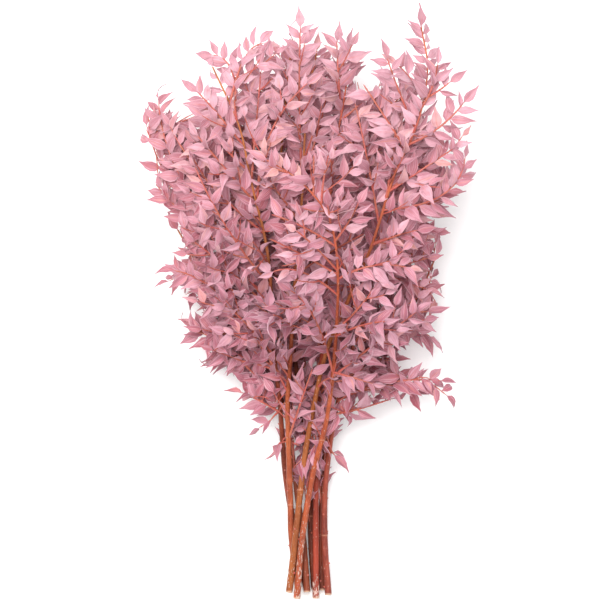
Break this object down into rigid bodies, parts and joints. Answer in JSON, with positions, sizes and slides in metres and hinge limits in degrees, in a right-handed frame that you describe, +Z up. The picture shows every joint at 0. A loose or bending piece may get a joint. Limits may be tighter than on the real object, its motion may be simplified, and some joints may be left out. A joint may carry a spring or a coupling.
{
  "type": "dried ruscus bunch",
  "caption": "Gathered bunch of dried, dyed ruscus stems lying down, with bare canes at the foot and a dense head of small pointed leaves.",
  "frame": {"origin": "middle of the bunch's bounding box, on the surface that it lies on", "axes": "+Y from the cut ends to the leafy tips, +X across the bunch, +Z up from the surface"},
  "size_m": [0.369, 0.6572, 0.2368],
  "materials": {
    "leaf": "dry papery leaf dyed dusty pink, matte, with fine lengthwise veins",
    "cane": "dry orange-brown cane, satin, with pale cut ends and joint rings"
  },
  "bodies": {
    "root": {"stem_front": "leaf", "stem_right_tall": "leaf", "stem_centre_tall": "leaf", "stem_left_tall": "leaf", "stem_centre": "leaf", "stem_right": "leaf", "stem_low_right": "leaf", "stem_low_left": "leaf", "stem_behind": "leaf"}
  },
  "joints": []
}
